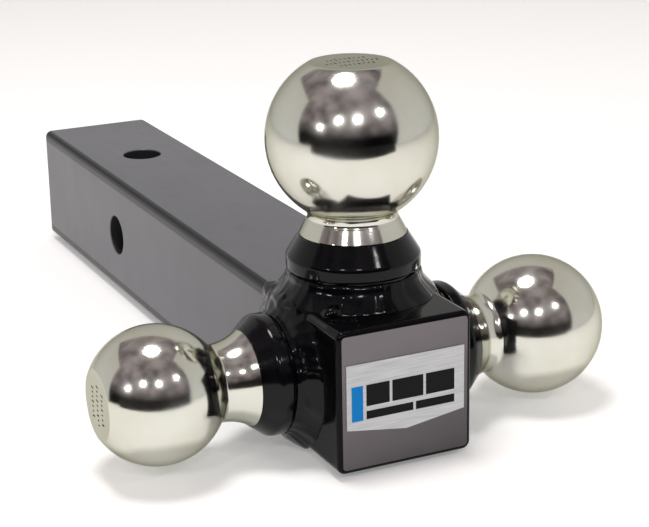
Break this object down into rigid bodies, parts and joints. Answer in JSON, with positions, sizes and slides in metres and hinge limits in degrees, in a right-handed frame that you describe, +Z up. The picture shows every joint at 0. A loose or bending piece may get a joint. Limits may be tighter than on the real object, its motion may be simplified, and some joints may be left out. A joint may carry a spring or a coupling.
{
  "type": "trailer hitch ball mount",
  "caption": "Welded ball mount for a square hitch receiver: a hollow shank with pin holes, and plated tow balls of different sizes on the top and sides of its closed end.",
  "frame": {"origin": "centre of the cross pin hole, on the shank's centreline", "axes": "+Y along the shank towards its open rear end, +Z up through the largest ball, +X to the right seen from the closed front end, which faces -Y"},
  "size_m": [0.1886, 0.3123, 0.1314],
  "materials": {
    "shank_coat": "satin black powder coat on steel",
    "head_coat": "glossy black powder coat, laid thick over forged and weld metal",
    "ball_plating": "polished nickel-chrome plating on forged steel",
    "label_foil": "brushed foil with plain printed blocks"
  },
  "bodies": {
    "root": {"shank_tube": "shank_coat", "front_cap": "shank_coat", "cap_weld": "shank_coat", "label_plate": "label_foil", "ball_top": "ball_plating", "ball_left": "ball_plating", "ball_right": "ball_plating", "collar_top": "head_coat", "collar_left": "head_coat", "collar_right": "head_coat", "weld_top": "head_coat", "weld_left": "head_coat", "weld_right": "head_coat"}
  },
  "joints": []
}
